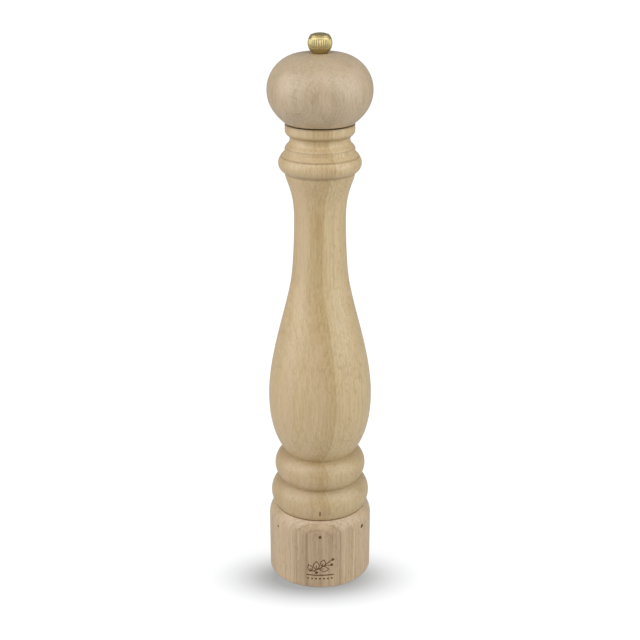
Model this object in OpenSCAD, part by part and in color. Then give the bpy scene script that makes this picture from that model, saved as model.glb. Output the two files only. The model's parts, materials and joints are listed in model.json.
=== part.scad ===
// Turned wooden pepper mill: a mushroom head turned by hand drives a steel burr through a square
// shaft, and the base ring sets the grind by screwing the outer burr up or down.
// Millimetres. The origin is the middle of the base ring's underside, +Z runs up the mill and the
// index mark is at the front, at -Y.

/* [Overall] */
// Height from the table to the top of the brass nut
total_h = 401.6; // [398:0.1:402.5]
// Height of the joint between the base ring and the body
ring_h = 54.2; // [53.6:0.1:54.6]
// Height of the joint between the body and the head
collar_h = 341.5; // [340.8:0.1:342]

/* [Base ring] */
// Radius of the base ring
ring_r = 38.2; // [37.6:0.1:40]
// Radius of the rounded shoulder at the ring's top
shoulder_r = 15; // [13:0.5:16]
// Wooden ring's bore, which takes the threaded insert
ring_bore_r = 27; // [27:0.1:27.4]

/* [Body] */
// Largest radius of the lower bead
low_bead_r = 36.4; // [35.8:0.1:37]
// Largest radius of the upper bead
high_bead_r = 33.45; // [33:0.05:34]
// Largest radius of the belly
belly_r = 37.4; // [36.4:0.1:39]
// Smallest radius of the neck
neck_r = 18.05; // [17.4:0.05:20]
// Largest radius of the bead under the collar
top_bead_r = 28.6; // [28:0.1:30]
// Radius of the collar's top band
collar_r = 23.9; // [23.4:0.1:25]
// Radius of the bore that holds the peppercorns
chamber_r = 12.5; // [11.5:0.1:12.6]

/* [Head] */
// Largest radius of the mushroom head
head_r = 35.8; // [34:0.1:38]
// Height of the head above its lower face
head_h = 46.2; // [46:0.1:48]

/* [Nut] */
// Radius of the brass ball nut
knob_r = 8.2; // [8.1:0.1:8.6]
// Number of flutes around it
flutes = 36; // [24:1:44]

/* [Grinder] */
// Side of the square shaft
shaft_side = 6; // [5:0.1:6]
// Pitch of the thread that raises the stator
pitch = 3; // [2.5:0.1:3.2]
// Number of grind settings marked on the ring
settings = 6; // [4:1:6]
// Settings finer than the one at the index
finer = 2; // [0:1:3]
// Turn of the ring from one setting to the next
step = 55; // [45:1:58]
// Fine teeth around each burr
fine_teeth = 28; // [16:1:36]
// Coarse teeth around each burr
coarse_teeth = 7; // [4:1:9]

/* [Hidden] */
$fn = 96;

wood_body = "#c6a77c";
wood_head = "#cbb795";
wood_ring = "#b79a78";
brass = "#cdb877";
steel = "#a9abad";
burr_steel = "#6f7072";
black = "#26272a";
nylon = "#e6e2d6";

eps = 0.01;            // overshoot of a cut past a face
seam = 0.65;           // gap between the base ring and the body
head_gap = 0.9;        // gap between the body and the head
run = 0.08;            // radial clearance of a running fit
slip = 0.1;            // clearance around the square shaft in the pieces it drives
hole_gap = 0.05;       // radial clearance of a screw in its hole

// the ring's settings, counted from the one at the index
marks = [-finer:settings - 1 - finer];
mark_z = 43.2;

// grinder heights
body_z = ring_h + seam;
housing_z = 14;
housing_top = 84;
flange_t = 3;
bridge_t = 1.6;
pocket_r = 24;
housing_r = 23.3;
housing_in = 20.8;
carrier_r = 20.6;
stator_r = 18;
stator_z = 26 + finer * step / 360 * pitch;   // lowest at the finest setting
stator_h = 20;
rotor_top = 46;
journal_r = 5.4;
bush_r = 5;
upper_bridge_z = housing_top - flange_t - bridge_t;
lower_bridge_z = 14.4;
rivet_z = 19.2;
slot_w = 8;
slot_turn = 90;        // direction of the first of the three slots
body_screw_r = 18;     // radius of the circle of housing screws
body_screw = 1.7;
bridge_screw = 1.4;
bridge_screw_x = 16.2;
rivet_r = 1.2;
hub_r = 8.5;           // round middle of both bridges
three = [0, 120, 240];

// insert and thread
insert_r = ring_bore_r - 0.05;
insert_in = 25.6;
insert_flange_z = ring_h - 2.7;
insert_flange_t = 1.9;
insert_flange_r = 31;
crest_r = 24;          // inner edge of the insert's thread
tooth_r = 25.3;        // outer edge of the shoes' teeth
thread_z = 26.6;       // height of the insert's ridge where it starts, at +X
shoe_screw = 1;
shoe_r = 23.7;
shoe_z = stator_z + 2;
shoe_h = 8;
screw_pcr = 29;        // radius of the circle of insert screws and of detent dimples
insert_screw = 1.1;

// threads on the two ends of the shaft
m5_r = 2.5;
m5_root = 2.05;
m5_pitch = 0.8;
thread_low_z = 4.6;
square_z = 11;
square_top = 376;
shaft_top = total_h - 3.9;
tap_r = 2.58;          // plain bore over the M5 thread

// head
head_z = collar_h + head_gap;
tenon_z = 330;
tenon_r = chamber_r - 0.3;
head_bore_r = 4.6;
head_top = head_z + head_h;
seat_z = head_top - 0.4;   // shallow dish under the nut
plate_r = 10.5;
plate_screw = 1.4;
plate_screw_x = 7.5;
knob_z = seat_z + 0.1;

function bez(a, b, c, d, n = 12) =
    [for (i = [0:n]) let (t = i / n, u = 1 - t) u^3 * a + 3 * u^2 * t * b + 3 * u * t^2 * c + t^3 * d];
function arc(c, r, a0, a1, n = 10) =
    [for (i = [0:n]) let (a = a0 + (a1 - a0) * i / n) c + r * [cos(a), sin(a)]];
// the outer of the two points where circles (c, r) and (d, s) cross
function crossing(c, r, d, s) =
    let (v = d - c, l = norm(v), a = (l^2 + r^2 - s^2) / (2 * l), h = sqrt(r^2 - a^2), u = v / l)
    c + a * u + h * [u.y, -u.x];
function angle_of(p, c) = atan2(p.y - c.y, p.x - c.x);

// ---- turned outlines, [radius, height] ----

low_bead = [low_bead_r - 15, 63.6];
low_bead_curve = 15;
high_bead = [high_bead_r - 13.5, 86.4];
high_bead_curve = 13.5;
low_crease = crossing(low_bead, low_bead_curve, high_bead, high_bead_curve);
high_crease = high_bead + high_bead_curve * [cos(65.5), sin(65.5)];
top_bead_curve = 7.1;
top_bead = [top_bead_r - top_bead_curve, 314.9];
fillet_r = 24.1;
cove = [20.65, 331.3];
band_curve = 3.55;
band_round = [collar_r - band_curve, collar_h - 4.3];
band_edge = -48;

function body_outline() = concat(
    [[0, body_z]],
    arc(low_bead, low_bead_curve, asin((body_z - low_bead.y) / low_bead_curve),
        angle_of(low_crease, low_bead), 14),
    arc(high_bead, high_bead_curve, angle_of(low_crease, high_bead), 65.5, 14),
    bez(high_crease, [35.3, 110.6], [belly_r, 129], [belly_r, 142], 14),
    bez([belly_r, 142], [belly_r, 174], [23.3, 209.8], [20.27, 233.1], 16),
    bez([20.27, 233.1], [18.67, 245.4], [neck_r, 265], [neck_r, 276], 8),
    bez([neck_r, 276], [neck_r, 296], [23.6, 301.5], [fillet_r, 307.6], 12),
    arc(top_bead, top_bead_curve, -68, 38, 18),
    [[26.6, 319.6], [26.9, 320], [fillet_r, 323], [fillet_r, 325.3]],
    bez([fillet_r - 0.3, 325.6], [23.5, 327.4], [cove.x, 328], cove, 10),
    bez(cove, [cove.x, cove.y + 1.7], [21.5, 333.4],
        band_round + band_curve * [cos(band_edge), sin(band_edge)], 6),
    arc(band_round, band_curve, band_edge, 0, 8),
    [[collar_r, collar_h - 0.3], [collar_r - 0.3, collar_h], [0, collar_h]]);

shoulder = [ring_r - shoulder_r, ring_h - 10.7];
function ring_outline() = concat(
    [[0, 0], [ring_r - 0.9, 0], [ring_r - 0.25, 0.35], [ring_r - 0.1, 1]],
    arc(shoulder, shoulder_r, 0, asin(10.7 / shoulder_r), 12),
    [[0, ring_h]]);

function head_outline() = concat(
    [[0, head_z], [collar_r, head_z]],
    bez([collar_r + 0.3, head_z + 0.3], [28.3, head_z + 3.8], [head_r, head_z + 10.2],
        [head_r, head_z + 21.9], 14),
    bez([head_r, head_z + 21.9], [head_r, head_z + 33.6], [26.5, head_top + 0.1], [9, head_top], 18),
    [[7.6, head_top - 0.12], [5.8, seat_z], [0, seat_z]]);

// ---- shared pieces ----

module ring(r_out, r_in, z, h) {
    translate([0, 0, z]) difference() {
        cylinder(r = r_out, h = h);
        translate([0, 0, -eps]) cylinder(r = r_in, h = h + 2 * eps);
    }
}

// a pan-head screw whose shank starts at the origin and runs up, its head below
module screw(shank_r, length, head_r, head_t) {
    translate([0, 0, -head_t]) difference() {
        union() {
            cylinder(r = head_r, h = head_t, $fn = 32);
            cylinder(r = shank_r, h = head_t + length, $fn = 32);
        }
        translate([0, 0, -eps]) cube([head_r, 0.5, head_t], center = true);
    }
}

module square_hole(z, h, play = slip) {
    side = shaft_side + play;
    translate([-side / 2, -side / 2, z - eps]) cube([side, side, h + 2 * eps]);
}

// closed tube through a list of equal rings of points
module loft(rings) {
    m = len(rings[0]);
    n = len(rings);
    sides = [for (i = [0:n - 2], j = [0:m - 1], k = [0, 1]) let (a = i * m + j, b = i * m + (j + 1) % m)
        k == 0 ? [a, a + m, b] : [b, a + m, b + m]];
    caps = [[for (j = [0:m - 1]) j], [for (j = [m - 1:-1:0]) (n - 1) * m + j]];
    polyhedron(points = [for (r = rings) each r], faces = concat(sides, caps), convexity = 10);
}

// helical ridge of trapezoid section: root and tip radius, half widths there, from angle a0 to a1
module ridge(root, tip, root_w, tip_w, z0, a0, a1, steps) {
    section = [[root, -root_w], [tip, -tip_w], [tip, tip_w], [root, root_w]];
    loft([for (i = [0:steps]) let (a = a0 + (a1 - a0) * i / steps, z = z0 + pitch * a / 360)
        [for (k = [0:3]) let (p = section[tip < root ? k : 3 - k]) [p.x * cos(a), p.x * sin(a), z + p.y]]]);
}

// wire coil: radius of the coil and of the wire, first and last height, turns
module coil(r, wire, z0, z1, turns, per_turn, sides) {
    n = round(turns * per_turn);
    loft([for (i = [0:n]) let (a = 360 * turns * i / n, z = z0 + (z1 - z0) * i / n)
        [for (j = [0:sides - 1]) let (b = -360 * j / sides, q = r + wire * cos(b))
            [q * cos(a), q * sin(a), z + wire * sin(b)]]]);
}

// thread of plain rings around the axis
module m5_thread(z0, z1) {
    n = floor((z1 - z0) / m5_pitch);
    rotate_extrude() polygon(concat([[0, z0]],
        [for (i = [0:n - 1]) each [[m5_root, z0 + i * m5_pitch], [m5_r, z0 + (i + 0.5) * m5_pitch]]],
        [[m5_root, z0 + n * m5_pitch], [m5_root, z1], [0, z1]]));
}

// V cuts across a burr's face, each leaning by lean degrees
module cuts(count, r, z, length, size, lean, flare) {
    for (i = [0:count - 1])
        rotate([0, 0, i * 360 / count]) translate([r, 0, z]) rotate([lean, flare, 0])
            rotate([0, 0, 45]) cube([size, size, length], center = true);
}

module shell_cut(depth) {
    difference() {
        translate([0, 0, -eps]) cylinder(r = ring_r + 2, h = ring_h);
        translate([0, 0, -1]) cylinder(r = ring_r - 0.1 - depth, h = ring_h + 2);
    }
}

// ---- fixed pieces ----

module index_mark(depth) {
    difference() {
        translate([-0.4, -low_bead_r - 1, low_bead.y - 4]) cube([0.8, 3, 4]);
        rotate_extrude() polygon(concat([[0, body_z]], arc(low_bead, low_bead_curve - depth, -30, 30), [[0, 75]]));
    }
}

module mill_body() {
    color(wood_body) difference() {
        rotate_extrude() polygon(body_outline());
        translate([0, 0, body_z - 1]) cylinder(r = pocket_r, h = housing_top - body_z + 1);
        translate([0, 0, housing_top - 1]) cylinder(r = chamber_r, h = collar_h - housing_top + 2);
        for (a = three) rotate([0, 0, slot_turn + a]) translate([body_screw_r, 0, housing_top - 1])
            cylinder(r = body_screw + hole_gap, h = 15, $fn = 32);
        rotate([0, 0, 90]) translate([screw_pcr, 0, body_z - 1]) cylinder(r = click_hole_r, h = 12, $fn = 32);
        index_mark(0.35);
    }
}

module housing() {
    color(black) difference() {
        union() {
            ring(housing_r, housing_in, housing_z, housing_top - housing_z);
            ring(pocket_r - 0.1, chamber_r, housing_top - flange_t, flange_t);
        }
        // slots for the thread shoes
        for (a = three) rotate([0, 0, slot_turn + a]) translate([19, -slot_w / 2, 24]) cube([6, slot_w, 20]);
        for (a = three) rotate([0, 0, slot_turn + a]) translate([body_screw_r, 0, housing_top - flange_t - 1])
            cylinder(r = body_screw + hole_gap, h = flange_t + 2, $fn = 32);
        for (s = [-1, 1]) translate([s * bridge_screw_x, 0, housing_top - flange_t - 1])
            cylinder(r = bridge_screw + hole_gap, h = flange_t + 2, $fn = 32);
        // groove for the retaining ring
        difference() {
            translate([0, 0, 16.1]) cylinder(r = housing_r + 1, h = 1.6);
            translate([0, 0, 15]) cylinder(r = 22.35, h = 4);
        }
        translate([0, 0, rivet_z]) rotate([0, 90, 0])
            cylinder(r = rivet_r + hole_gap, h = 60, center = true, $fn = 32);
    }
}

module housing_screws() {
    color(steel) for (a = three) rotate([0, 0, slot_turn + a])
        translate([body_screw_r, 0, housing_top - flange_t]) screw(body_screw, 15.8, 2.6, 1.8);
}

module upper_bridge() {
    color(steel) difference() {
        union() {
            translate([-19, -4, upper_bridge_z]) cube([38, 8, bridge_t]);
            translate([0, 0, upper_bridge_z]) cylinder(r = hub_r, h = bridge_t);
        }
        translate([0, 0, upper_bridge_z - 1]) cylinder(r = bush_r + run, h = 4);
        for (s = [-1, 1]) translate([s * bridge_screw_x, 0, upper_bridge_z - 1])
            cylinder(r = bridge_screw + hole_gap, h = 4, $fn = 32);
    }
}

module upper_bridge_screws() {
    color(steel) for (s = [-1, 1]) translate([s * bridge_screw_x, 0, upper_bridge_z])
        screw(bridge_screw, 4.4, 2.5, 1.5);
}

tab_x = 20.4;
module lower_bridge() {
    color(steel) difference() {
        union() {
            translate([-tab_x, -3.5, lower_bridge_z]) cube([2 * tab_x, 7, bridge_t]);
            translate([0, 0, lower_bridge_z]) cylinder(r = hub_r, h = bridge_t);
            for (x = [-tab_x, tab_x - bridge_t])
                translate([x, -3.5, lower_bridge_z]) cube([bridge_t, 7, 7.6]);
        }
        translate([0, 0, lower_bridge_z - 1]) cylinder(r = journal_r + run, h = 4);
        translate([0, 0, rivet_z]) rotate([0, 90, 0])
            cylinder(r = rivet_r + hole_gap, h = 60, center = true, $fn = 32);
    }
}

module lower_bridge_rivets() {
    inner = tab_x - bridge_t;
    color(steel) for (a = [0, 180]) rotate([0, 0, a]) translate([inner, 0, rivet_z]) rotate([0, 90, 0]) {
        cylinder(r = rivet_r, h = 23.2 - inner, $fn = 32);
        translate([0, 0, -0.9]) cylinder(r1 = 1.6, r2 = 2.2, h = 0.9, $fn = 32);
    }
}

module upper_guide() {
    color(nylon) ring(insert_in - run, housing_r + 0.05, 46.6, 4.6);
}

module retaining_ring() {
    color(steel) difference() {
        ring(24.8, 22.4, 16.2, 1.4);
        rotate([0, 0, 90]) translate([20, -3, 15]) cube([8, 6, 4]);
    }
}

click_z = body_z + 0.9;
click_hole_r = 1.9;
module click_ball() {
    color(steel) translate([0, screw_pcr, click_z]) sphere(r = 1.75, $fn = 32);
}

module click_coil() {
    color(steel) translate([0, screw_pcr, 0]) coil(1.25, 0.22, click_z + 2.1, click_z + 9, 6, 12, 6);
}

// ---- base ring, which turns ----

module emblem() {
    z = 17;
    for (p = [[-5.2, 0], [0, 2.6], [5.2, 0]])
        translate([p.x, -ring_r + 3, z + p.y]) rotate([90, 0, 0]) cylinder(r = 2.1, h = 6, $fn = 32);
    translate([-9, -ring_r - 3, 9]) cube([18, 6, 1.2]);
}

module ring_wood() {
    color(wood_ring) difference() {
        rotate_extrude() polygon(ring_outline());
        translate([0, 0, -1]) cylinder(r = ring_bore_r, h = ring_h + 2);
        translate([0, 0, insert_flange_z]) cylinder(r = insert_flange_r + 0.1, h = ring_h);
        for (a = three) rotate([0, 0, a]) translate([screw_pcr, 0, insert_flange_z - 9])
            cylinder(r = insert_screw + hole_gap, h = 10, $fn = 32);
        intersection() {
            shell_cut(0.4);
            union() {
                emblem();
                // a dot for each setting, larger for a coarser grind
                for (i = marks) rotate([0, 0, i * step]) translate([0, -ring_r + 3, mark_z])
                    rotate([90, 0, 0]) cylinder(r = 1.2 + 0.33 * i, h = 6, $fn = 32);
            }
        }
    }
}

module ring_insert() {
    turns = 5;
    color(black) difference() {
        union() {
            ring(insert_r, insert_in, housing_z, insert_flange_z - housing_z + eps);
            ring(insert_flange_r, insert_in, insert_flange_z, insert_flange_t);
            ridge(insert_in + 0.3, crest_r, 0.75, 0.4, thread_z, 0, 360 * turns, 32 * turns);
        }
        for (a = three) rotate([0, 0, a]) translate([screw_pcr, 0, insert_flange_z - 1])
            cylinder(r = insert_screw + hole_gap, h = 4, $fn = 32);
        for (i = marks) rotate([0, 0, 90 + i * step])
            translate([screw_pcr, 0, click_z - 0.65]) sphere(r = 2.1, $fn = 32);
    }
}

module insert_screws() {
    color(steel) for (a = three) rotate([0, 0, a])
        translate([screw_pcr, 0, insert_flange_z + insert_flange_t]) rotate([180, 0, 0])
            screw(insert_screw, 9, 1.7, 0.5);
}

module lower_guide() {
    color(nylon) ring(insert_in - 0.05, housing_r + run, 18, 4);
}

// ---- stator, which rises and falls ----

module stator() {
    color(burr_steel) difference() {
        translate([0, 0, stator_z]) cylinder(r = stator_r, h = stator_h);
        rotate_extrude() polygon([
            [0, stator_z - 1], [14.25, stator_z - 1], [14.1, stator_z], [13.2, stator_z + 6.4],
            [13.6, stator_z + 8], [16.6, stator_z + stator_h], [16.6, stator_z + stator_h + 1],
            [0, stator_z + stator_h + 1]]);
        cuts(fine_teeth, 13.6, stator_z + 3.2, 12, 0.9, 14, -8);
        cuts(coarse_teeth, 14.8, stator_z + 14.6, 16, 2.2, -24, 14);
    }
}

module carrier() {
    color(black) difference() {
        ring(carrier_r, stator_r, stator_z, stator_h);
        for (a = three) rotate([0, 0, slot_turn + a]) translate([17, 0, shoe_z + shoe_h / 2])
            rotate([0, 90, 0]) cylinder(r = shoe_screw + hole_gap, h = 6, $fn = 32);
    }
}

module thread_shoes() {
    // the shoes' teeth sit half a pitch away from the insert's ridge
    tooth_z = thread_z + pitch / 2;
    half = 7.5;
    color(brass) for (a = three) {
        turn = slot_turn + a;
        lift = pitch * turn / 360;
        first = ceil((shoe_z + 1 - tooth_z - lift) / pitch);
        last = floor((shoe_z + shoe_h - 1 - tooth_z - lift) / pitch);
        difference() {
            union() {
                intersection() {
                    ring(shoe_r, carrier_r, shoe_z, shoe_h);
                    rotate([0, 0, turn]) translate([18, -3.5, shoe_z]) cube([8, 7, shoe_h]);
                }
                for (k = [first:last])
                    ridge(shoe_r - 0.3, tooth_r, 0.7, 0.4, tooth_z + k * pitch, turn - half, turn + half, 4);
            }
            rotate([0, 0, turn]) translate([17, 0, shoe_z + shoe_h / 2]) rotate([0, 90, 0])
                cylinder(r = shoe_screw + hole_gap, h = 9, $fn = 32);
            rotate([0, 0, turn]) translate([22.4, 0, shoe_z + shoe_h / 2]) rotate([0, 90, 0])
                cylinder(r = 1.9 + hole_gap, h = 4, $fn = 32);
        }
    }
}

module shoe_screws() {
    color(steel) for (a = three) rotate([0, 0, slot_turn + a])
        translate([22.4, 0, shoe_z + shoe_h / 2]) rotate([0, -90, 0])
            screw(shoe_screw, 4.3, 1.9, 0.9);
}

// ---- spindle, which turns with the head ----

module shaft() {
    color(steel) {
        translate([-shaft_side / 2, -shaft_side / 2, square_z])
            cube([shaft_side, shaft_side, square_top - square_z]);
        m5_thread(thread_low_z, square_z + eps);
        m5_thread(square_top - eps, shaft_top);
    }
}

bush_flange_z = upper_bridge_z - 2.4;
module bush() {
    color(nylon) difference() {
        union() {
            translate([0, 0, bush_flange_z]) cylinder(r = 7.2, h = 2.2);
            translate([0, 0, bush_flange_z]) cylinder(r = bush_r, h = 7);
        }
        square_hole(bush_flange_z, 7);
    }
}

seat_t = 0.8;
module seat(z) {
    difference() {
        translate([0, 0, z]) cylinder(r = 7, h = seat_t);
        square_hole(z, seat_t);
    }
}

module upper_seat() {
    color(steel) seat(bush_flange_z - seat_t);
}

module rotor_spring() {
    wire = 0.65;
    play = wire + 0.05;
    color(steel) coil(5.6, wire, rotor_top + seat_t + play, bush_flange_z - seat_t - play, 6, 16, 6);
}

module lower_seat() {
    color(steel) seat(rotor_top);
}

hub_z = 16.8;
burr_z = 24;
module rotor() {
    color(burr_steel) difference() {
        rotate_extrude() polygon([
            [0, square_z], [journal_r, square_z], [journal_r, hub_z], [7.5, hub_z], [7.5, burr_z - 1.4],
            [12.2, burr_z], [13.75, burr_z + 2], [12.85, burr_z + 8.4], [8.6, rotor_top - 1], [7.6, rotor_top],
            [0, rotor_top]]);
        square_hole(square_z, rotor_top - square_z);
        cuts(fine_teeth, 13.3, burr_z + 4.6, 12, 0.9, 14, -8);
        cuts(coarse_teeth, 11.6, burr_z + 15, 16, 2.4, -24, -17);
    }
}

module thrust_washer() {
    color(brass) ring(8, journal_r + 0.1, lower_bridge_z + bridge_t + 0.05, 0.75);
}

module lock_washer() {
    color(steel) ring(7, tap_r, square_z - 1, 1);
}

module rotor_nut() {
    nut_h = 3.8;
    color(steel) translate([0, 0, square_z - 1 - nut_h]) difference() {
        cylinder(r = 4.62, h = nut_h, $fn = 6);
        translate([0, 0, -eps]) cylinder(r = tap_r, h = nut_h + 2 * eps, $fn = 32);
    }
}

// ---- head and nut ----

module head_wood() {
    color(wood_head) difference() {
        union() {
            rotate_extrude() polygon(head_outline());
            translate([0, 0, tenon_z]) cylinder(r = tenon_r, h = head_z - tenon_z + 1);
        }
        translate([0, 0, tenon_z - 1]) cylinder(r = head_bore_r, h = 80);
        for (s = [-1, 1]) translate([s * plate_screw_x, 0, tenon_z - 1])
            cylinder(r = plate_screw + hole_gap, h = 11, $fn = 32);
    }
}

module drive_plate() {
    color(steel) difference() {
        translate([0, 0, tenon_z - bridge_t]) cylinder(r = plate_r, h = bridge_t);
        square_hole(tenon_z - bridge_t, bridge_t, 0.2);
        for (s = [-1, 1]) translate([s * plate_screw_x, 0, tenon_z - 3])
            cylinder(r = plate_screw + hole_gap, h = 4, $fn = 32);
    }
}

module drive_screws() {
    color(steel) for (s = [-1, 1]) translate([s * plate_screw_x, 0, tenon_z - bridge_t])
        screw(plate_screw, 11, 2.4, 1.4);
}

module knob() {
    ball_z = total_h - 6.7;
    rim_r = 6;
    rim_z = ball_z + sqrt(knob_r^2 - rim_r^2);
    outline = concat(
        [[0, knob_z], [5, knob_z]],
        arc([0, ball_z], knob_r, asin((knob_z + 0.2 - ball_z) / knob_r), acos(rim_r / knob_r), 20),
        bez([rim_r - 0.3, rim_z], [4.8, total_h - 0.5], [2.6, total_h], [0, total_h], 8));
    color(brass) difference() {
        rotate_extrude() polygon(outline);
        translate([0, 0, knob_z - 1]) cylinder(r = tap_r, h = total_h - 2.7 - knob_z + 1);
        for (i = [0:flutes - 1]) rotate([0, 0, (i + 0.5) * 360 / flutes])
            translate([knob_r + 0.1, 0, ball_z]) cylinder(r = 0.4, h = 6, center = true, $fn = 16);
    }
}

mill_body();
housing();
housing_screws();
upper_bridge();
upper_bridge_screws();
lower_bridge();
lower_bridge_rivets();
upper_guide();
retaining_ring();
click_ball();
click_coil();
ring_wood();
ring_insert();
insert_screws();
lower_guide();
stator();
carrier();
thread_shoes();
shoe_screws();
shaft();
bush();
upper_seat();
rotor_spring();
lower_seat();
rotor();
thrust_washer();
lock_washer();
rotor_nut();
head_wood();
drive_plate();
drive_screws();
knob();
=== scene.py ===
"""Turned beech pepper mill with a brass nut, on a white floor under soft studio light.

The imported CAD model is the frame. The three wooden pieces and the nut are turned again here as fine
meshes with eased edges, burnt-in marks and real flutes. Every other CAD piece keeps its shape and gets
a material. Outlines are in millimetres, as in the design, and meshes are in metres.
"""
import json
import math

import bmesh
import bpy
import numpy as np
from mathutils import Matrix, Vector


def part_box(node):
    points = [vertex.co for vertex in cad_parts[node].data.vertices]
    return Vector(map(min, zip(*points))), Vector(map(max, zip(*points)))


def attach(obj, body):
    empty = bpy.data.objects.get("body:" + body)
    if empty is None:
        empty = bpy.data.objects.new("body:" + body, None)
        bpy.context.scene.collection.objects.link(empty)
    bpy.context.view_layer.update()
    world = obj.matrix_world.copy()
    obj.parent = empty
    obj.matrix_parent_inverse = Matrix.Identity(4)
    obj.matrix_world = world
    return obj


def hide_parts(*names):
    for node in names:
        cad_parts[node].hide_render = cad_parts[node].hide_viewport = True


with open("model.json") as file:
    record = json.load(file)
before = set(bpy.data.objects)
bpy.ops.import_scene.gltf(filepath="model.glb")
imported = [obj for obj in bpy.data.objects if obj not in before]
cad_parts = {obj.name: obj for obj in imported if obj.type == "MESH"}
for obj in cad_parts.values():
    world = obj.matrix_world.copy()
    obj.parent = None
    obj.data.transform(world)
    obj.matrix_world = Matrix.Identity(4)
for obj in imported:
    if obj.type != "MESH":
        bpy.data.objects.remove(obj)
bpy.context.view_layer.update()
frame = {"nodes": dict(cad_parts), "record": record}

MM = 0.001

# ---------------------------------------------------------------- sizes, from the frame


def top_of(node):
    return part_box(node)[1].z / MM


def bottom_of(node):
    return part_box(node)[0].z / MM


def radius_of(node):
    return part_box(node)[1].x / MM


TOTAL_H = top_of("knob")
RING_H = top_of("ring_wood")
RING_R = radius_of("ring_wood")
BODY_Z = bottom_of("mill_body")
COLLAR_H = top_of("mill_body")
BELLY_R = radius_of("mill_body")
HEAD_R = radius_of("head_wood")
HEAD_TOP = top_of("head_wood")
TENON_Z = bottom_of("head_wood")
HEAD_Z = COLLAR_H + 0.9                        # over the seam under the head
KNOB_R = radius_of("knob")
KNOB_Z = bottom_of("knob")
HOUSING_TOP = top_of("housing")
RECESS_R = radius_of("ring_insert") + 0.1      # the ring's recess for the flange of its insert
RECESS_Z = top_of("ring_insert") - 1.9

# bores, and the head's tenon
RING_BORE_R = 27.0
POCKET_R = 24.0
CHAMBER_R = 12.5
TENON_R = CHAMBER_R - 0.3
HEAD_BORE_R = 4.6
NUT_BORE_R = 2.58

# the body's beads are circles: (centre radius, centre height, curve radius)
LOW_BEAD = (21.4, 63.6, 15.0)
HIGH_BEAD = (19.95, 86.4, 13.5)
HIGH_BEAD_END = 65.5                           # degrees at which the belly leaves it
TOP_BEAD = (21.5, 314.9, 7.1)

# the body between them, and its collar
BELLY_Z = 142
WAIST = (20.27, 233.1)
NECK_R = 18.05
NECK_Z = 276
FILLET_R = 24.1
COVE = (20.65, 331.3)
COLLAR_R = 23.9
BAND_CURVE = 3.55
BAND_DROP = 4.3                                # from the collar's top to the middle of its band
BAND_FOOT = -48                                # degrees at which the cove meets the band

# ring and head
SHOULDER_R = 15.0
SHOULDER_DROP = 10.7
DISH = 0.4                                     # depth of the head's dish under the nut

# the nut: a ball with a rim, a dome and a turned line
NUT_BALL = 6.7                                 # its top above the centre of its ball
NUT_CAP = 2.7                                  # thickness of its top over the bore
NUT_RIM = 6.0
NUT_FOOT = 5.0
NUT_LINE_DEPTH = 0.22
FLUTES = 36
FLUTE_REACH = 3.3                              # half the flutes' height
FLUTE_FADE = 0.9                               # over which they die out
FLUTE_DEPTH = 0.26

# burnt-in marks
MARKS = range(-2, 4)                           # grind settings, counted from the one at the index
STEP = 55                                      # degrees from one setting to the next
MARK_Z = 43.2
DOT_R = 1.2                                    # of the dot at the index
DOT_GROWTH = 0.33                              # from one dot to the next
TICK = (59.9, 63.3)                            # lowest and highest end of the index tick
TICK_R = 36.3                                  # the body's radius there
TICK_HALF_WIDTH = 0.38
MARK_DEPTH = 0.35
EMBLEM_DEPTH = 0.32
MARK_WALL = 0.14                               # width of a mark's sloping wall
BURNT_FROM = 0.12                              # depth from which the wood is burnt

# meshes
WOOD_EDGE = 0.35                               # radius of the eased edges
RING_EDGE = 0.3
NUT_EDGE = 0.2
SHARP_FROM = 38                                # degrees from which an edge is shaded sharp
EASED_FROM = 25                                # degrees from which a corner is eased

# ---------------------------------------------------------------- outlines


def bez(a, b, c, d, n):
    a, b, c, d = (np.array(p, float) for p in (a, b, c, d))
    ts = np.linspace(0, 1, n + 1)[:, None]
    us = 1 - ts
    return [tuple(p) for p in us**3 * a + 3 * us**2 * ts * b + 3 * us * ts**2 * c + ts**3 * d]


def arc(circle, a0, a1, n):
    cx, cy, r = circle
    return [(cx + r * math.cos(a), cy + r * math.sin(a))
            for a in np.radians(np.linspace(a0, a1, n + 1))]


def on_circle(circle, angle):
    return arc(circle, angle, angle, 1)[0]


def crossing(one, two):
    """The outer of the two points where two circles cross."""
    (ax, ay, r), (bx, by, s) = one, two
    reach = math.hypot(bx - ax, by - ay)
    along = (reach**2 + r**2 - s**2) / (2 * reach)
    side = math.sqrt(r**2 - along**2)
    ux, uy = (bx - ax) / reach, (by - ay) / reach
    return ax + along * ux + side * uy, ay + along * uy - side * ux


def angle_on(circle, point):
    return math.degrees(math.atan2(point[1] - circle[1], point[0] - circle[0]))


def angle_at_height(circle, z):
    return math.degrees(math.asin((z - circle[1]) / circle[2]))


def smoothstep(t):
    return t * t * (3 - 2 * t)


def ease(points, radius, steps=4):
    """Rounds every corner of a closed outline that turns by more than EASED_FROM."""
    out = []
    n = len(points)
    for i in range(n):
        p = np.array(points[i])
        a, b = np.array(points[i - 1]) - p, np.array(points[(i + 1) % n]) - p
        la, lb = np.linalg.norm(a), np.linalg.norm(b)
        if la < 1e-6 or lb < 1e-6:
            continue
        turn = math.pi - math.acos(np.clip(a @ b / (la * lb), -1, 1))
        if turn < math.radians(EASED_FROM) or p[0] < 1e-6:
            out.append(tuple(p))
            continue
        cut = min(radius * math.tan(turn / 2), 0.45 * la, 0.45 * lb)
        start, end = p + a / la * cut, p + b / lb * cut
        for t in np.linspace(0, 1, steps + 1):
            out.append(tuple((1 - t)**2 * start + 2 * t * (1 - t) * p + t * t * end))
    return out


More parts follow.
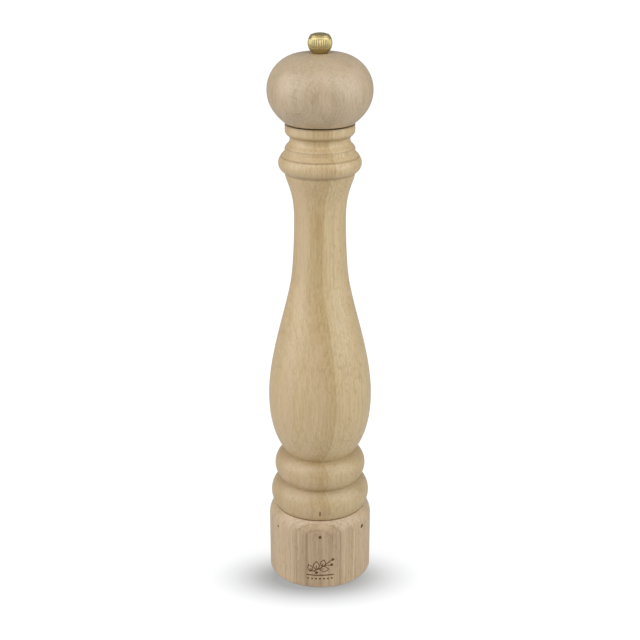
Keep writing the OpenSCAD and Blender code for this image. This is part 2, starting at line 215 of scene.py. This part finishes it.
def refine(points, step, coarse_inside, closed=True):
    """Splits long stretches, to that step, or to a coarser one inside a bore of that radius."""
    out = []
    n = len(points)
    for i in range(n if closed else n - 1):
        p, q = np.array(points[i]), np.array(points[(i + 1) % n])
        inside = max(p[0], q[0]) <= coarse_inside + 0.1
        pieces = max(1, math.ceil(np.linalg.norm(q - p) / (step * (5 if inside else 1))))
        out += [tuple(p + (q - p) * k / pieces) for k in range(pieces)]
    if not closed:
        out.append(points[-1])
    return out


def body_outline():
    low_crease = crossing(LOW_BEAD, HIGH_BEAD)
    high_crease = on_circle(HIGH_BEAD, HIGH_BEAD_END)
    band = (COLLAR_R - BAND_CURVE, COLLAR_H - BAND_DROP, BAND_CURVE)
    belly, neck = (BELLY_R, BELLY_Z), (NECK_R, NECK_Z)
    return (
        [(POCKET_R, BODY_Z)]
        + arc(LOW_BEAD, angle_at_height(LOW_BEAD, BODY_Z), angle_on(LOW_BEAD, low_crease), 30)
        + arc(HIGH_BEAD, angle_on(HIGH_BEAD, low_crease), HIGH_BEAD_END, 28)[1:]
        + bez(high_crease, (35.3, 110.6), (BELLY_R, 129), belly, 30)[1:]
        + bez(belly, (BELLY_R, 174), (23.3, 209.8), WAIST, 50)[1:]
        + bez(WAIST, (18.67, 245.4), (NECK_R, 265), neck, 24)[1:]
        + bez(neck, (NECK_R, 296), (23.6, 301.5), (FILLET_R, 307.6), 26)[1:]
        + arc(TOP_BEAD, -68, 38, 30)
        + [(26.6, 319.6), (26.9, 320), (FILLET_R, 323), (FILLET_R, 325.3)]
        + bez((FILLET_R - 0.3, 325.6), (23.5, 327.4), (COVE[0], 328), COVE, 16)
        + bez(COVE, (COVE[0], COVE[1] + 1.7), (21.5, 333.4), on_circle(band, BAND_FOOT), 10)[1:]
        + arc(band, BAND_FOOT, 0, 14)[1:]
        + [(COLLAR_R, COLLAR_H), (CHAMBER_R, COLLAR_H), (CHAMBER_R, HOUSING_TOP), (POCKET_R, HOUSING_TOP)])


def ring_outline():
    shoulder = (RING_R - SHOULDER_R, RING_H - SHOULDER_DROP, SHOULDER_R)
    return (
        [(RING_BORE_R, 0), (RING_R - 0.7, 0), (RING_R - 0.1, 0.7)]
        + arc(shoulder, 0, math.degrees(math.asin(SHOULDER_DROP / SHOULDER_R)), 26)
        + [(RECESS_R, RING_H), (RECESS_R, RECESS_Z), (RING_BORE_R, RECESS_Z)])


def head_outline():
    widest = (HEAD_R, HEAD_Z + 21.9)
    crown = HEAD_TOP
    return (
        [(HEAD_BORE_R, TENON_Z), (TENON_R, TENON_Z), (TENON_R, HEAD_Z), (COLLAR_R, HEAD_Z)]
        + bez((COLLAR_R + 0.3, HEAD_Z + 0.3), (28.3, HEAD_Z + 3.8), (HEAD_R, HEAD_Z + 10.2), widest, 36)
        + bez(widest, (HEAD_R, HEAD_Z + 33.6), (26.5, crown + 0.1), (9, crown), 48)[1:]
        + bez((9, crown), (7.6, crown), (7.2, crown - DISH), (5.8, crown - DISH), 6)[1:]
        + [(HEAD_BORE_R, crown - DISH)])


def knob_outline():
    ball = (0, TOTAL_H - NUT_BALL, KNOB_R)
    rim = math.degrees(math.acos(NUT_RIM / KNOB_R))
    rim_z = on_circle(ball, rim)[1]
    bore_top = TOTAL_H - NUT_CAP
    line = rim - 9
    return (
        [(0, bore_top), (NUT_BORE_R, bore_top), (NUT_BORE_R, KNOB_Z), (NUT_FOOT, KNOB_Z)]
        + arc(ball, angle_at_height(ball, KNOB_Z + 0.2), line - 2, 40)
        + [on_circle((*ball[:2], KNOB_R - NUT_LINE_DEPTH), line)]
        + arc(ball, line + 2, rim, 6)
        + [(NUT_RIM - 0.15, rim_z), (NUT_RIM - 0.35, rim_z - 0.25)]
        + bez((NUT_RIM - 0.6, rim_z), (4.7, TOTAL_H - 0.5), (2.6, TOTAL_H), (0, TOTAL_H), 12))


# ---------------------------------------------------------------- burnt-in marks


def stroke(x, z, a, b, half_width):
    """Signed distance to a straight stroke with round ends."""
    ax, az = a
    dx, dz = b[0] - ax, b[1] - az
    t = np.clip(((x - ax) * dx + (z - az) * dz) / (dx * dx + dz * dz), 0, 1)
    return np.hypot(x - ax - t * dx, z - az - t * dz) - half_width


def chain(x, z, points, half_width):
    parts = [stroke(x, z, a, b, half_width) for a, b in zip(points, points[1:])]
    return np.minimum.reduce(parts)


def disc(x, z, centre, radius):
    return np.hypot(x - centre[0], z - centre[1]) - radius


def leaf(x, z, root, tip, belly, half_width):
    """Outline of a leaf: two bowed strokes from its root to its tip, with a midrib."""
    (rx, rz), (tx, tz) = root, tip
    nx, nz = -(tz - rz) * belly, (tx - rx) * belly
    mid = ((rx + tx) / 2, (rz + tz) / 2)
    sides = [chain(x, z, bez(root, (mid[0] + s * nx, mid[1] + s * nz), (mid[0] + s * nx, mid[1] + s * nz),
                             tip, 8), half_width) for s in (-1, 1)]
    return np.minimum.reduce(sides + [stroke(x, z, root, mid, half_width * 0.8)])


def emblem(x, z):
    """A pepper sprig with three berries over a bar and a row of dots."""
    stem = bez((-8.2, 14.0), (-3.5, 13.6), (2.0, 18.0), (7.6, 22.6), 14)
    marks = [chain(x, z, stem, 0.36), stroke(x, z, (-10.0, 10.8), (10.0, 10.8), 0.42)]
    marks += [leaf(x, z, stem[i], tip, 0.42, 0.3)
              for i, tip in ((2, (-8.6, 19.4)), (5, (-2.6, 22.6)), (9, (2.8, 24.0)), (7, (6.6, 15.6)))]
    for i, (bx, bz) in ((3, (-2.6, 12.9)), (10, (8.8, 19.2)), (14, (9.6, 23.6))):
        marks += [disc(x, z, (bx, bz), 1.15), stroke(x, z, stem[i], (bx, bz), 0.24)]
    marks += [disc(x, z, (-9.0 + 3.0 * i, 7.7), 0.72) for i in range(7)]
    return np.minimum.reduce(marks)


def sunk(distance, depth):
    """How deep a burnt mark is, from the signed distance to its edge."""
    return depth * smoothstep(np.clip(0.5 - distance / (2 * MARK_WALL), 0, 1))


def ring_marks(theta, z, r):
    """theta runs from the front, and x is measured around the ring."""
    x = theta * RING_R
    depth = sunk(emblem(x, z), EMBLEM_DEPTH)
    for i in MARKS:
        around = (theta - math.radians(i * STEP) + math.pi) % (2 * math.pi) - math.pi
        dot = disc(around * RING_R, z, (0, MARK_Z), DOT_R + DOT_GROWTH * i)
        depth = np.maximum(depth, sunk(dot, MARK_DEPTH))
    return depth


def body_marks(theta, z, r):
    outside = r > POCKET_R + 5
    tick = stroke(theta * TICK_R, z, (0, TICK[0]), (0, TICK[1]), TICK_HALF_WIDTH)
    return np.where(outside, sunk(tick, MARK_DEPTH), 0)


def flutes(theta, z, r):
    """Scalloped flutes around the nut's ball, dying out above and below."""
    window = np.clip((FLUTE_REACH - np.abs(z - TOTAL_H + NUT_BALL)) / FLUTE_FADE, 0, 1)
    scallop = 1 - np.abs(np.cos(theta * FLUTES / 2))**1.5
    ball = r > NUT_BORE_R + 0.5
    return np.where(ball, FLUTE_DEPTH * smoothstep(window) * scallop, 0)


# ---------------------------------------------------------------- meshes


def angles(base_count, *dense):
    """Angles around the axis from the front, finer where marks are: (centre, half width, count)."""
    around = set(np.round(np.linspace(0, 2 * math.pi, base_count, endpoint=False), 9))
    for centre, half, count in dense:
        lo, hi = centre - half, centre + half
        around = {a for a in around if not (lo < (a + math.pi) % (2 * math.pi) - math.pi < hi
                                            or lo < a < hi)}
        around |= set(np.round(np.linspace(lo, hi, count) % (2 * math.pi), 9))
    return np.array(sorted(around))


def lathe(name, outline, theta, closed, cut=None, burnt_at=None):
    """Turns an outline of (radius, height) about the axis.

    cut(theta, z, r) sinks the surface, and faces sunk deeper than burnt_at take the second material. An
    outline that isn't closed starts and ends on the axis.
    """
    rows = np.array(outline, float)
    m, n = len(rows), len(theta)
    signed = (theta[None, :] + math.pi) % (2 * math.pi) - math.pi
    signed, r, z = (np.broadcast_to(v, (m, n)) for v in (signed, rows[:, :1], rows[:, 1:]))
    depth = cut(signed, z, r) if cut else np.zeros((m, n))
    radius = r - depth
    co = np.stack([radius * np.sin(theta), -radius * np.cos(theta), z], -1) * MM
    index = np.arange(m * n).reshape(m, n)
    faces, masks = [], []
    poles = [] if closed else [k for k in (0, m - 1) if rows[k, 0] < 1e-6]
    for i in range(m if closed else m - 1):
        a, b = index[i], index[(i + 1) % m]
        if i in poles:
            quads = np.stack([np.full(n, a[0]), np.roll(b, -1), b], 1)
        elif i + 1 in poles:
            quads = np.stack([a, np.roll(a, -1), np.full(n, b[0])], 1)
        else:
            quads = np.stack([a, np.roll(a, -1), np.roll(b, -1), b], 1)
        faces += quads.tolist()
        if burnt_at is not None:
            d = depth[i] + depth[(i + 1) % m]
            masks.append((d + np.roll(d, -1)) / 4 > burnt_at)
    mesh = bpy.data.meshes.new(name)
    mesh.from_pydata(co.reshape(-1, 3).tolist(), [], faces)
    if poles:
        drop_loose(mesh)
    mesh.shade_smooth()
    mesh.set_sharp_from_angle(angle=math.radians(SHARP_FROM))
    if masks:
        mesh.polygons.foreach_set("material_index", np.concatenate(masks).astype(np.int32))
    mesh.update()
    obj = bpy.data.objects.new(name, mesh)
    bpy.context.scene.collection.objects.link(obj)
    return obj


def drop_loose(mesh):
    bm = bmesh.new()
    bm.from_mesh(mesh)
    bmesh.ops.delete(bm, geom=[v for v in bm.verts if not v.link_faces], context="VERTS")
    bm.to_mesh(mesh)
    bm.free()


# ---------------------------------------------------------------- materials


class Graph:
    """A material's node tree, built by calls that return sockets."""

    def __init__(self, name):
        self.material = bpy.data.materials.new(name)
        self.material.use_nodes = True
        self.nodes = self.material.node_tree.nodes
        self.links = self.material.node_tree.links
        self.shader = self.nodes["Principled BSDF"]

    def put(self, socket, value):
        if isinstance(value, bpy.types.NodeSocket):
            self.links.new(value, socket)
        else:
            socket.default_value = value

    def math(self, operation, a, b=0.0, c=0.0, clamp=False):
        node = self.nodes.new("ShaderNodeMath")
        node.operation, node.use_clamp = operation, clamp
        for socket, value in zip(node.inputs, (a, b, c)):
            self.put(socket, value)
        return node.outputs[0]

    def vector(self, operation, a, b=(0, 0, 0), scale=1.0):
        node = self.nodes.new("ShaderNodeVectorMath")
        node.operation = operation
        self.put(node.inputs[0], a)
        self.put(node.inputs[1], b)
        if operation == "SCALE":
            self.put(node.inputs[3], scale)
        return node.outputs["Value" if operation in ("DOT_PRODUCT", "LENGTH") else "Vector"]

    def place(self):
        """Position on the object in millimetres."""
        return self.vector("SCALE", self.nodes.new("ShaderNodeTexCoord").outputs["Object"], scale=1 / MM)

    def noise(self, at, scale=1.0, detail=2.0, rough=0.5):
        node = self.nodes.new("ShaderNodeTexNoise")
        self.put(node.inputs["Vector"], at)
        self.put(node.inputs["Scale"], scale)
        self.put(node.inputs["Detail"], detail)
        self.put(node.inputs["Roughness"], rough)
        return node.outputs["Fac"]

    def grain(self, at, across, along, detail=2.0, rough=0.5):
        """Noise drawn out along Z, from how fast it changes per millimetre across and along it."""
        return self.noise(self.vector("MULTIPLY", at, (across, across, along)), 1.0, detail, rough)

    def ramp(self, value, *stops):
        """Grey values between (place, shade) stops."""
        node = self.nodes.new("ShaderNodeValToRGB")
        elements = node.color_ramp.elements
        while len(elements) < len(stops):
            elements.new(0.5)
        for element, (place, shade) in zip(elements, stops):
            element.position = place
            element.color = (shade, shade, shade, 1)
        self.put(node.inputs[0], value)
        return node.outputs[0]

    def between(self, value, low, high, to_low=0.0, to_high=1.0, smooth=False):
        node = self.nodes.new("ShaderNodeMapRange")
        node.interpolation_type = "SMOOTHSTEP" if smooth else "LINEAR"
        for socket, v in zip(node.inputs, (value, low, high, to_low, to_high)):
            self.put(socket, v)
        return node.outputs[0]

    def mix(self, amount, a, b, blend="MIX"):
        node = self.nodes.new("ShaderNodeMix")
        node.data_type, node.blend_type = "RGBA", blend
        self.put(node.inputs["Factor"], amount)
        self.put(node.inputs[6], (*a, 1) if isinstance(a, tuple) else a)
        self.put(node.inputs[7], (*b, 1) if isinstance(b, tuple) else b)
        return node.outputs[2]

    def bump(self, height, distance_mm):
        node = self.nodes.new("ShaderNodeBump")
        self.put(node.inputs["Height"], height)
        self.put(node.inputs["Distance"], distance_mm * MM)
        self.links.new(node.outputs[0], self.shader.inputs["Normal"])

    def finish(self, **sockets):
        for name, value in sockets.items():
            self.put(self.shader.inputs[name.replace("_", " ")], value)
        return self.material


WOOD_ROUGH = 0.38
WOOD_SPECULAR = 0.8


def srgb(r, g, b):
    """Linear colour of an 8-bit sRGB one."""
    return tuple(v / 255 / 12.92 if v <= 10 else ((v / 255 + 0.055) / 1.055) ** 2.4 for v in (r, g, b))


def beech(name, light, dark, blush, pith, middle, spacing, bands,
          lean=0.0, line=0.3, shift=0.0, waver=5.0, blush_from=-60, shaded_creases=(), seed=0.0):
    """Solid beech: growth layers around a far pith, fibres along Z, vessels and ray flecks.

    light and dark are the early and late wood, and blush the pinkish streaks. pith is where the tree's
    centre lies from the axis, at the height middle, in millimetres, and lean tilts it along the height.
    bands are the plank's broad tones: (distance from the axis away from the pith, share of dark).
    The blush starts at the distance blush_from. shaded_creases are turned grooves with shade painted into
    the
    colour round them, darkest at the groove: (height, reach above, reach below, strength).
    """
    g = Graph(name)
    at = g.vector("SUBTRACT", g.place(), (0, 0, middle))
    split = g.nodes.new("ShaderNodeSeparateXYZ")
    g.put(split.inputs[0], at)
    x, y, z = split.outputs
    moved = g.vector("ADD", at, (seed * 37, seed * 11, seed * 53))
    wave = g.math("SUBTRACT", g.grain(moved, 0.03, 0.008), 0.5)
    px = g.math("SUBTRACT", x, pith[0])
    py = g.math("SUBTRACT", g.math("MULTIPLY_ADD", z, lean, y), pith[1])
    across = g.nodes.new("ShaderNodeCombineXYZ")
    g.put(across.inputs[0], px)
    g.put(across.inputs[1], py)
    out = g.math("SUBTRACT", g.vector("LENGTH", across.outputs[0]), math.hypot(*pith))
    out = g.math("MULTIPLY_ADD", wave, waver, out)
    # growth layers, each with a darker late-wood edge
    layer = g.math("DIVIDE", g.math("SUBTRACT", out, shift), spacing)
    uneven = g.nodes.new("ShaderNodeTexNoise")
    uneven.noise_dimensions = "1D"
    g.put(uneven.inputs["W"], g.math("MULTIPLY_ADD", layer, 0.41, seed * 10))
    g.put(uneven.inputs["Scale"], 1.0)
    tone = uneven.outputs["Fac"]
    late = g.ramp(g.math("FRACT", layer),
                  (0.0, 0.9), (0.05, 0.0), (0.15, 0.08), (0.7, 0.32), (0.9, 0.5), (0.97, 1.0))
    low, high = bands[0][0], bands[-1][0]
    broad = g.ramp(g.between(out, low, high), *(((d - low) / (high - low), v) for d, v in bands))
    # fibres, streaks and vessels, stretched along the grain
    fibre = g.grain(at, 3.1, 0.1, 4.0, 0.62)
    thread = g.grain(at, 1.25, 0.02, rough=0.6)
    streak = g.grain(at, 0.4, 0.006)
    cloud = g.grain(at, 0.11, 0.009)
    pores = g.between(g.grain(at, 2.4, 0.14, 3.0, 0.62), 0.58, 0.7)
    # rays: thin plates that run out from the pith
    rays = g.nodes.new("ShaderNodeCombineXYZ")
    g.put(rays.inputs[0], g.math("MULTIPLY", g.math("ARCTAN2", py, px), math.hypot(*pith) / 0.75))
    g.put(rays.inputs[1], g.math("MULTIPLY", out, 0.3))
    g.put(rays.inputs[2], g.math("MULTIPLY", z, 0.2))
    flecks = g.between(g.noise(rays.outputs[0], 1.0, 1.0, 0.4), 0.58, 0.7)
    # how dark the wood is, from broad tones down to single fibres
    edges = g.math("MULTIPLY", g.math("MULTIPLY_ADD", tone, 0.9, 0.25), g.math("MULTIPLY", late, line))
    shade = g.math("ADD", broad, edges)
    shade = g.math("ADD", shade, g.between(streak, 0.3, 0.7, -0.12, 0.12))
    shade = g.math("ADD", shade, g.between(thread, 0.35, 0.65, -0.16, 0.18))
    shade = g.math("ADD", shade, g.between(fibre, 0.3, 0.7, -0.13, 0.15), clamp=True)
    colour = g.mix(shade, light, dark)
    # the blush in patches, then flecks, vessels and the painted shade of the creases over it
    patches = g.between(cloud, 0.42, 0.66, 0.1, 0.65)
    pink = g.math("MULTIPLY", patches, g.between(out, blush_from - 5, blush_from))
    colour = g.mix(pink, colour, blush)
    colour = g.mix(g.math("MULTIPLY", flecks, 0.2), colour, tuple(0.55 * c for c in dark))
    colour = g.mix(g.math("MULTIPLY", pores, 0.27), colour, tuple(0.45 * c for c in dark))
    # painted shade: the colour darkens round each crease's height and fades above and below it, where a
    # groove catches less light
    for groove, above, below, strength in shaded_creases:
        away = g.math("SUBTRACT", z, groove - middle)
        upper = g.between(away, 0, above, 1, 0, smooth=True)
        lower = g.between(away, -below, 0, 0, 1, smooth=True)
        painted_shade = g.math("MULTIPLY", g.math("MULTIPLY", upper, lower), strength)
        colour = g.mix(painted_shade, colour, tuple(0.5 * c for c in dark))
    relief = g.math("MULTIPLY_ADD", pores, -0.8, g.math("MULTIPLY", fibre, 0.8))
    g.bump(g.math("MULTIPLY_ADD", flecks, -0.3, relief), 0.025)
    rough = g.math("MULTIPLY_ADD", fibre, 0.12, g.math("MULTIPLY_ADD", pores, 0.1, WOOD_ROUGH - 0.06))
    return g.finish(Base_Color=colour, Roughness=rough, Specular_IOR_Level=WOOD_SPECULAR)


def burnt_wood(name, core, edge):
    """Laser-burnt beech inside the marks."""
    g = Graph(name)
    soot = g.grain(g.place(), 2.2, 0.7, 4.0, 0.6)
    g.bump(soot, 0.06)
    return g.finish(Base_Color=g.mix(g.between(soot, 0.3, 0.7), core, edge),
                    Roughness=g.between(soot, 0.2, 0.8, 0.7, 0.9), Specular_IOR_Level=0.2)


def turned_metal(name, colour, tint, rough, line_mm):
    """Metal with fine turning lines around the axis, smudges and grit."""
    g = Graph(name)
    at = g.place()
    lines = g.grain(at, 0.1, 1 / line_mm)
    smudge = g.noise(at, 0.22, 3.0, 0.6)
    grit = g.noise(at, 1.8, 2.0, 0.6)
    shade = g.mix(g.between(smudge, 0.35, 0.7), colour, tint)
    roughness = g.math("ADD", g.between(smudge, 0.3, 0.7, rough - 0.04, rough + 0.06),
                       g.between(grit, 0.4, 0.7, -0.02, 0.04))
    g.bump(g.math("MULTIPLY_ADD", grit, 0.2, lines), 0.0015)
    return g.finish(Base_Color=shade, Roughness=roughness, Metallic=1.0)


def moulded(name, colour, tint, rough):
    """Moulded nylon: faint mottle, fine spark texture."""
    g = Graph(name)
    at = g.place()
    grain = g.noise(at, 2.4, 4.0, 0.7)
    flow = g.noise(at, 0.07, 2.0)
    g.bump(grain, 0.03)
    return g.finish(Base_Color=g.mix(g.between(flow, 0.3, 0.7), colour, tint),
                    Roughness=g.between(grain, 0.3, 0.7, rough - 0.06, rough + 0.08),
                    Specular_IOR_Level=0.4)


def sintered(name, colour, tint):
    """Hardened steel burr: dark, grainy, brighter where it is worn."""
    g = Graph(name)
    at = g.place()
    grain = g.noise(at, 1.6, 4.0, 0.7)
    patches = g.noise(at, 0.16, 3.0, 0.6)
    g.bump(grain, 0.04)
    return g.finish(Base_Color=g.mix(g.between(patches, 0.35, 0.65), colour, tint),
                    Roughness=g.between(grain, 0.3, 0.7, 0.34, 0.52), Metallic=0.9)


# painted shade round the bead creases, with a faint part that reaches 36 mm down the beads below
BEAD_CREASE_SHADE = [(z, *reach) for z in (76.3, 98.6) for reach in ((2.5, 6, 0.2), (2, 36, 0.17))]
# painted shade in the collar's grooves and under the seam below the head
COLLAR_CREASE_SHADE = [(307.9, 3, 1, 0.3), (319.9, 1, 1.2, 0.4), (325.6, 0.8, 1, 0.35), (334.3, 1.4, 2, 0.4),
                  (341.4, 1, 1.4, 0.5)]
BODY_WOOD = beech(
    "beech_body", srgb(206, 184, 141), srgb(170, 137, 85), srgb(203, 176, 139), pith=(122, 68), middle=142,
    spacing=2.5, lean=-0.05, line=0.36, waver=2.5, blush_from=21, seed=0.31,
    shaded_creases=BEAD_CREASE_SHADE + COLLAR_CREASE_SHADE,
    bands=((-40, 0.16), (-4, 0.16), (11, 0.12), (12.5, 0.46), (17, 0.42), (21, 0.36), (24, 0.2), (40, 0.3)))
HEAD_WOOD = beech(
    "beech_head", srgb(201, 181, 149), srgb(156, 134, 101), srgb(198, 174, 144), pith=(57, 94), middle=355,
    spacing=1.7, lean=0.27, line=0.44, waver=2.5, seed=0.77,
    bands=((-40, 0.3), (0, 0.35), (18, 0.2), (26, 0.4), (31, 0.35), (36, 0.5), (40, 0.5)))
RING_WOOD = beech(
    "beech_ring", srgb(210, 186, 149), srgb(134, 106, 76), srgb(202, 174, 140), pith=(6, 160), middle=27,
    spacing=2.2, line=0.5, shift=0.1, waver=0.6, seed=0.12,
    bands=((-40, 0.3), (0, 0.25), (28, 0.15), (34.9, 0.25), (35.2, 0.42), (37, 0.38), (37.3, 0.62),
           (40, 0.58)))
BURNT = burnt_wood("burnt_beech", srgb(84, 60, 38), srgb(120, 92, 62))
BRASS = turned_metal("satin_brass", srgb(202, 186, 134), srgb(184, 166, 112), 0.36, 0.35)
STEEL = turned_metal("plated_steel", srgb(190, 192, 195), srgb(168, 170, 174), 0.26, 0.5)
BURR = sintered("burr_steel", srgb(120, 121, 124), srgb(92, 93, 97))
BLACK = moulded("black_nylon", srgb(36, 37, 40), srgb(48, 49, 53), 0.45)
WHITE = moulded("white_nylon", srgb(232, 228, 214), srgb(220, 214, 198), 0.42)
CAD_LOOKS = {"steel": STEEL, "burr_steel": BURR, "black_nylon": BLACK, "white_nylon": WHITE, "brass": BRASS}

# ---------------------------------------------------------------- pieces


def stand_for(piece, node, body, slot, *looks):
    for look in looks:
        piece.data.materials.append(look)
    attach(piece, body)
    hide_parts(node)


def dense_rows(outline, low, high, wall, step):
    """Closer rows from low to high, outside the radius wall, where a mark is cut."""
    out = []
    n = len(outline)
    for i in range(n):
        p, q = np.array(outline[i]), np.array(outline[(i + 1) % n])
        near = min(p[0], q[0]) > wall and max(p[1], q[1]) > low and min(p[1], q[1]) < high
        pieces = max(1, math.ceil(np.linalg.norm(q - p) / step)) if near else 1
        out += [tuple(p + (q - p) * k / pieces) for k in range(pieces)]
    return out


def make_body():
    rows = refine(ease(body_outline(), WOOD_EDGE), 1.6, POCKET_R)
    rows = dense_rows(rows, TICK[0] - 1.4, TICK[1] + 1.2, wall=30, step=0.2)
    theta = angles(200, (0, math.radians(1.4), 20))
    piece = lathe("turned_body", rows, theta, True, body_marks, BURNT_FROM)
    stand_for(piece, "mill_body", "mill", "beech_body", BODY_WOOD, BURNT)


def make_ring():
    rows = refine(ease(ring_outline(), RING_EDGE), 1.2, RING_BORE_R)
    rows = dense_rows(rows, 6, 26, wall=36, step=0.17)
    rows = dense_rows(rows, MARK_Z - 3.2, MARK_Z + 2.8, wall=36, step=0.2)
    emblem_arc = (0, math.radians(17.5), 170)
    dot_arcs = [(math.radians(i * STEP), math.radians(3.8), 40) for i in MARKS if i]
    theta = angles(200, emblem_arc, *dot_arcs)
    piece = lathe("turned_ring", rows, theta, True, ring_marks, BURNT_FROM)
    stand_for(piece, "ring_wood", "adjuster", "beech_ring", RING_WOOD, BURNT)


def make_head():
    rows = refine(ease(head_outline(), WOOD_EDGE), 1.2, HEAD_BORE_R)
    piece = lathe("turned_head", rows, angles(220), True)
    stand_for(piece, "head_wood", "head", "beech_head", HEAD_WOOD)


def make_knob():
    rows = refine(ease(knob_outline(), NUT_EDGE), 0.25, NUT_BORE_R, closed=False)
    piece = lathe("fluted_nut", rows, angles(FLUTES * 12), False, flutes)
    stand_for(piece, "knob", "knob", "brass", BRASS)


def dress_cad_nodes():
    slots = {s["node"]: s["material_slot"] for s in frame["record"]["subparts"]}
    for name, obj in frame["nodes"].items():
        if slots[name] in CAD_LOOKS:
            obj.data.materials.clear()
            obj.data.materials.append(CAD_LOOKS[slots[name]])


make_body()
make_ring()
make_head()
make_knob()
dress_cad_nodes()

# ---------------------------------------------------------------- stage, light and camera


FLOOR_SIDE = 9.0             # half of its side, in metres
BOUNCE = 0.7                 # how much light the floor throws back at the mill
FLOOR_TONE = 0.15            # its matt tone as the camera sees it, under the glow
NEAR_GLOW = 0.92             # its glow near the mill, which rises to 1 far from it
GLOW_REACH = (60, 400)
SHADOW_CENTRE = (-4, -24)
SHADOW_STRETCH = 1.88        # how much wider than deep it is
SHADOW_REACH = (30, 102)     # from its darkest ring to its end, across
SHADOW_TONES = ((0.0, 0.3), (0.15, 0.46), (0.28, 0.62), (0.42, 0.77), (0.57, 0.88), (0.7, 0.95), (1.0, 1.0))
SKY = 0.38                   # strength of the light from all around
LENS = 66.1
CAMERA_PLACE = (0.0, -0.7887, 0.4984)
CAMERA_TILT = 20.75          # degrees below level


def make_floor():
    """A white floor: the camera sees its own glow and a painted shadow, other rays a pale matt floor."""
    mesh = bpy.data.meshes.new("floor")
    corners = [(x * FLOOR_SIDE, y * FLOOR_SIDE, 0) for x, y in ((-1, -1), (1, -1), (1, 1), (-1, 1))]
    mesh.from_pydata(corners, [], [(0, 1, 2, 3)])
    floor = bpy.data.objects.new("floor", mesh)
    bpy.context.scene.collection.objects.link(floor)
    g = Graph("white_floor")
    away = g.vector("LENGTH", g.place())
    # the shadow is an ellipse, deepest a little in front of the foot
    off = g.vector("ADD", g.place(), (-SHADOW_CENTRE[0], -SHADOW_CENTRE[1], 0))
    off = g.vector("MULTIPLY", off, (1, SHADOW_STRETCH, 1))
    shadow = g.ramp(g.between(g.vector("LENGTH", off), *SHADOW_REACH), *SHADOW_TONES)
    seen = g.nodes.new("ShaderNodeLightPath").outputs["Is Camera Ray"]
    glow = g.math("MULTIPLY", g.between(away, *GLOW_REACH, NEAR_GLOW, 1.0), shadow)
    glow = g.math("MULTIPLY", glow, seen)
    tone = g.mix(seen, (BOUNCE,) * 3, (FLOOR_TONE,) * 3)
    g.put(g.shader.inputs["Emission Color"], (0.99, 0.995, 1.0, 1))
    mesh.materials.append(g.finish(Base_Color=tone, Roughness=0.8, Specular_IOR_Level=0.1,
                                   Emission_Strength=glow))


def soft_box(name, place, aim, width, height, watts):
    light = bpy.data.lights.new(name, "AREA")
    light.shape, light.size, light.size_y = "RECTANGLE", width, height
    light.energy = watts
    box = bpy.data.objects.new(name, light)
    bpy.context.scene.collection.objects.link(box)
    box.location = place
    direction = np.array(aim, float) - np.array(place, float)
    flat = math.hypot(direction[0], direction[1])
    turn = math.atan2(direction[1], direction[0]) - math.pi / 2
    box.rotation_euler = (math.atan2(flat, -direction[2]), 0, turn)


def make_light():
    world = bpy.data.worlds.new("studio")
    bpy.context.scene.world = world
    world.use_nodes = True
    nodes, links = world.node_tree.nodes, world.node_tree.links
    sky = nodes["Background"]
    sky.inputs["Color"].default_value = (0.97, 0.985, 1.0, 1)
    # a white backdrop that gives the mill less light than it shows
    backdrop = nodes.new("ShaderNodeMapRange")
    links.new(nodes.new("ShaderNodeLightPath").outputs["Is Camera Ray"], backdrop.inputs["Value"])
    backdrop.inputs["To Min"].default_value = SKY
    links.new(backdrop.outputs[0], sky.inputs["Strength"])
    soft_box("soft_box_left", (-0.95, -0.35, 0.7), (0, 0, 0.3), 1.2, 1.3, 8.7)
    soft_box("soft_box_right", (0.95, -0.4, 0.7), (0, 0, 0.3), 1.2, 1.3, 8.3)
    soft_box("soft_box_front", (0, -0.8, 1.25), (0, 0, 0.35), 1.2, 0.7, 3.6)


def make_camera():
    """In front of the mill and above it, looking down at it."""
    camera = bpy.data.cameras.new("camera")
    camera.lens, camera.sensor_width = LENS, 36
    eye = bpy.data.objects.new("camera", camera)
    bpy.context.scene.collection.objects.link(eye)
    eye.location = CAMERA_PLACE
    eye.rotation_euler = (math.radians(90 - CAMERA_TILT), 0, 0)
    bpy.context.scene.camera = eye


make_floor()
make_light()
make_camera()
bpy.context.scene.view_settings.view_transform = "Standard"
